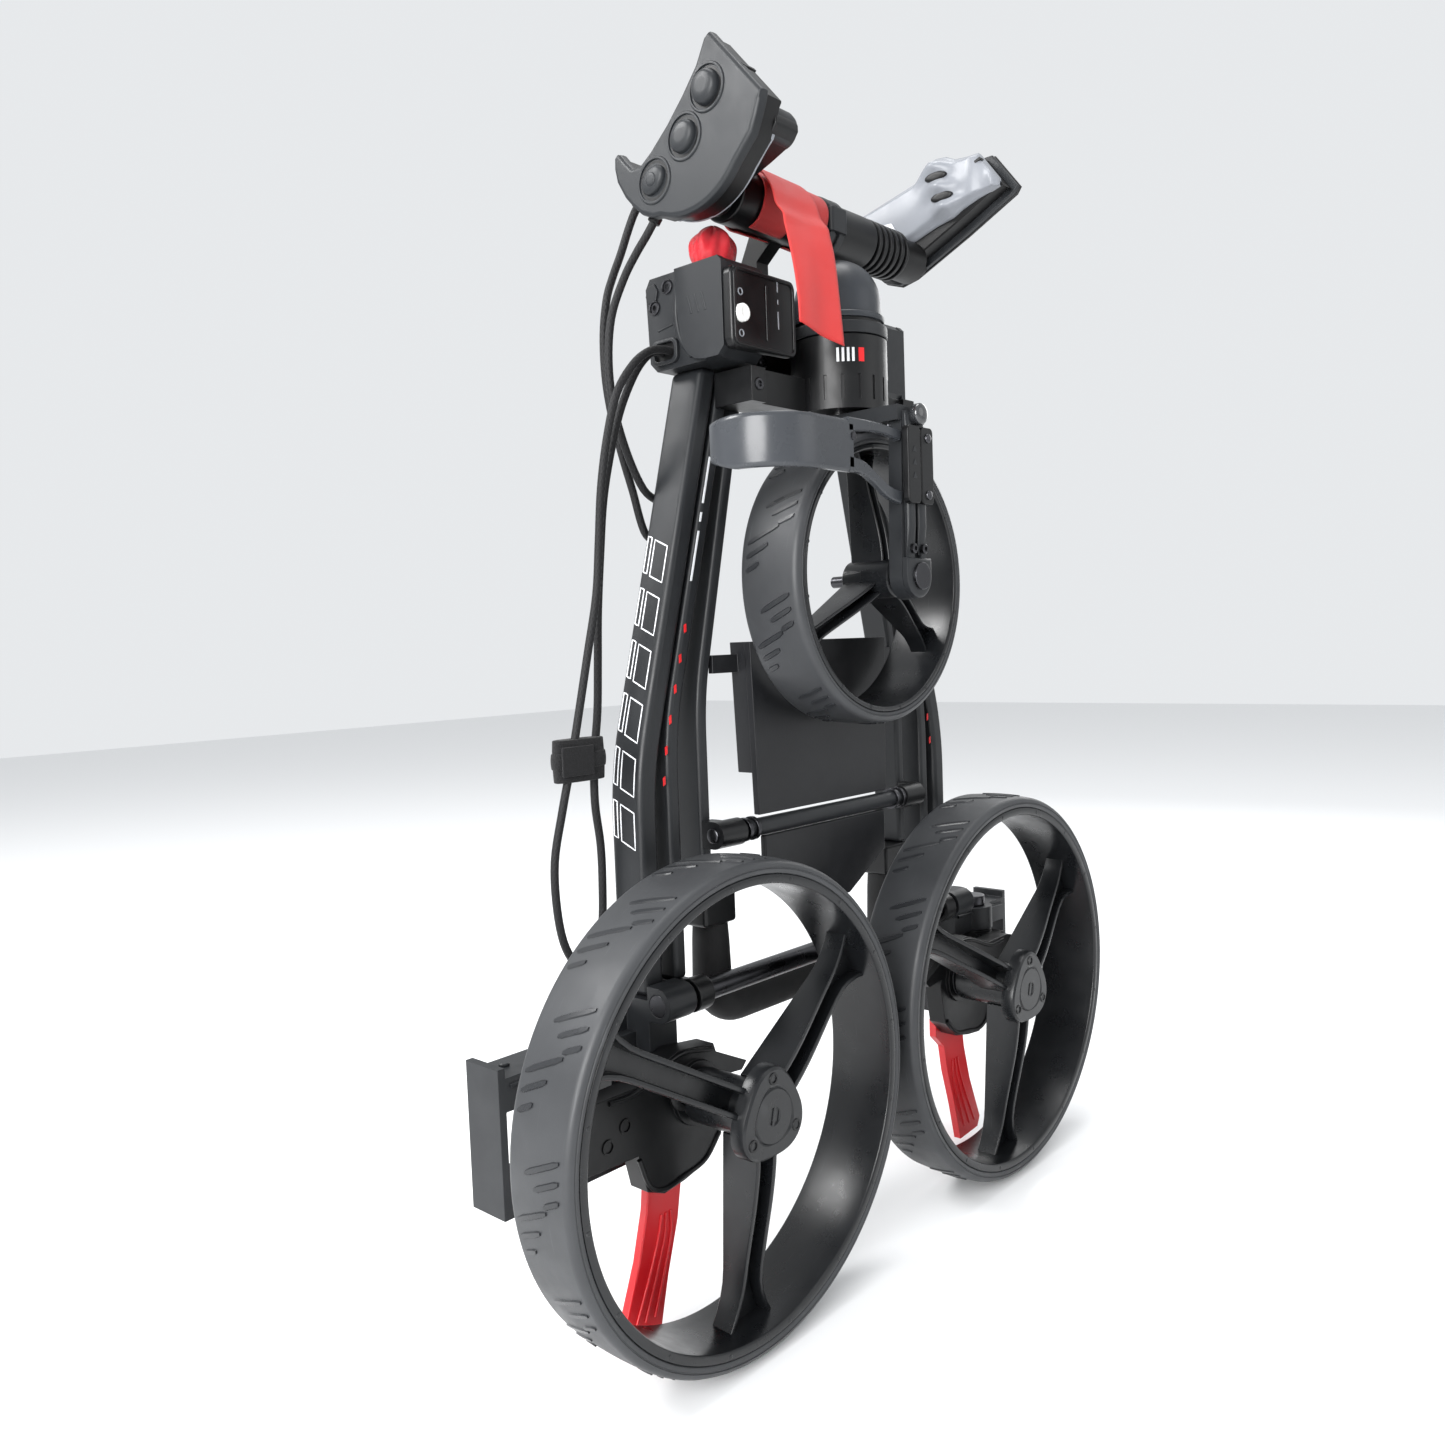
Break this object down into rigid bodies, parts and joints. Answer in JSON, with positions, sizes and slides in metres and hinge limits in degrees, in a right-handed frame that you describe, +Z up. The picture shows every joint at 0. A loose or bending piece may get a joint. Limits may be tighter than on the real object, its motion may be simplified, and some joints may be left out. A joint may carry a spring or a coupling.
{
  "type": "golf push cart",
  "caption": "Flat-folding push cart for a golf bag, folded and hung up, with twin beams, swing-out wheels, folding handle and tilting bag brackets.",
  "frame": {"origin": "middle of the hanging bar at the top of the folded cart", "axes": "+X across the cart to the right seen from its front, -Y out of its front, +Z up"},
  "size_m": [0.612, 0.1446, 0.7836],
  "materials": {
    "beam_paint": "satin charcoal powder coat",
    "black_plastic": "fine-grained black moulding",
    "grey_plastic": "satin dark grey moulding",
    "wheel_plastic": "satin black moulding",
    "tyre": "satin foam-filled tread",
    "foam": "soft black foam sleeve",
    "pad_rubber": "matte rubber",
    "steel": "brushed",
    "white_bolt": "gloss white",
    "red_plastic": "satin red",
    "red_fabric": "woven red ribbon",
    "cord": "braided black elastic"
  },
  "bodies": {
    "frame": {"outer_beam_left": "beam_paint", "outer_beam_right": "beam_paint", "side_block_left": "black_plastic", "side_block_right": "black_plastic", "hub_frame": "black_plastic", "hanging_bar": "steel", "latch_plate": "black_plastic", "latch_bolt": "white_bolt", "bracket_barrel": "black_plastic", "hinge_tube": "steel", "axle_bracket_left": "black_plastic", "axle_bracket_right": "black_plastic", "arm_pin_left": "black_plastic", "arm_pin_right": "black_plastic", "handle_pins": "steel", "block_screws": "steel", "red_band": "red_fabric", "red_loop": "red_fabric", "hang_tag": "red_fabric", "strap_cord": "cord", "wing_cord": "cord", "cord_tie": "cord"},
    "front_arm": {"middle_beam_left": "beam_paint", "middle_beam_right": "beam_paint", "arm_knuckles": "black_plastic", "arm_bridge": "black_plastic", "swivel_drum": "black_plastic", "drum_cap": "grey_plastic"},
    "front_fork": {"fork": "beam_paint", "swivel_spindle": "steel", "fork_clamp": "black_plastic", "clamp_knob": "grey_plastic", "cradle_hoop": "grey_plastic", "front_axle": "steel"},
    "front_wheel": {"front_tyre": "tyre", "front_rim": "wheel_plastic"},
    "handle": {"inner_beam_left": "beam_paint", "inner_beam_right": "beam_paint", "handle_barrels": "black_plastic", "handle_grip": "foam", "grip_collars": "black_plastic", "cross_rod": "steel", "rod_bushes": "black_plastic", "console_panel": "grey_plastic", "console_bracket": "black_plastic"},
    "wheel_arm_left": {"wheel_arm_left": "black_plastic", "rear_axle_left": "steel"},
    "wheel_arm_right": {"wheel_arm_right": "black_plastic", "rear_axle_right": "steel"},
    "lever_left": {"lever_left": "red_plastic"},
    "lever_right": {"lever_right": "red_plastic"},
    "rear_wheel_left": {"rear_tyre_left": "tyre", "rear_rim_left": "wheel_plastic"},
    "rear_wheel_right": {"rear_tyre_right": "tyre", "rear_rim_right": "wheel_plastic"},
    "wing_left": {"wing_left": "black_plastic", "wing_pads_left": "pad_rubber"},
    "wing_right": {"wing_right": "black_plastic", "wing_pads_right": "pad_rubber"}
  },
  "joints": [
    {"name": "front_arm_fold", "type": "hinge", "parent": "frame", "child": "front_arm", "pos_m": [0, -0.038, -0.432], "axis": [1, 0, 0], "range_deg": [0, 110]},
    {"name": "fork_swivel", "type": "hinge", "parent": "front_arm", "child": "front_fork", "pos_m": [0, -0.058, -0.04], "axis": [0, 0, 1], "range_deg": [0, 90]},
    {"name": "front_wheel_spin", "type": "hinge", "parent": "front_fork", "child": "front_wheel", "pos_m": [0, -0.069, -0.173], "axis": [0, 1, 0], "continuous": true},
    {"name": "handle_fold", "type": "hinge", "parent": "frame", "child": "handle", "pos_m": [0, -0.012, -0.01], "axis": [1, 0, 0], "range_deg": [0, 140]},
    {"name": "wheel_arm_left_fold", "type": "hinge", "parent": "frame", "child": "wheel_arm_left", "pos_m": [-0.24, -0.01, -0.493], "axis": [0, 0, 1], "range_deg": [-90, 0]},
    {"name": "rear_wheel_left_spin", "type": "hinge", "parent": "wheel_arm_left", "child": "rear_wheel_left", "pos_m": [-0.156, -0.075, -0.49], "axis": [0, 1, 0], "continuous": true},
    {"name": "lever_left_pull", "type": "hinge", "parent": "wheel_arm_left", "child": "lever_left", "pos_m": [-0.171, -0.027, -0.533], "axis": [0, 1, 0], "range_deg": [0, 25]},
    {"name": "wing_left_tilt", "type": "hinge", "parent": "frame", "child": "wing_left", "pos_m": [-0.128, -0.04, 0.072], "axis": [1, 0, 0], "range_deg": [0, 15]},
    {"name": "wheel_arm_right_fold", "type": "hinge", "parent": "frame", "child": "wheel_arm_right", "pos_m": [0.24, -0.01, -0.493], "axis": [0, 0, 1], "range_deg": [0, 90]},
    {"name": "rear_wheel_right_spin", "type": "hinge", "parent": "wheel_arm_right", "child": "rear_wheel_right", "pos_m": [0.156, -0.075, -0.49], "axis": [0, 1, 0], "continuous": true},
    {"name": "lever_right_pull", "type": "hinge", "parent": "wheel_arm_right", "child": "lever_right", "pos_m": [0.171, -0.027, -0.533], "axis": [0, 1, 0], "range_deg": [-25, 0]},
    {"name": "wing_right_tilt", "type": "hinge", "parent": "frame", "child": "wing_right", "pos_m": [0.128, -0.04, 0.072], "axis": [1, 0, 0], "range_deg": [-15, 20]}
  ],
  "couplings": [
    {"joint": "fork_swivel", "follows": "front_arm_fold", "ratio": 0.8182},
    {"joint": "wheel_arm_left_fold", "follows": "front_arm_fold", "ratio": -0.8182},
    {"joint": "wheel_arm_right_fold", "follows": "front_arm_fold", "ratio": 0.8182}
  ]
}
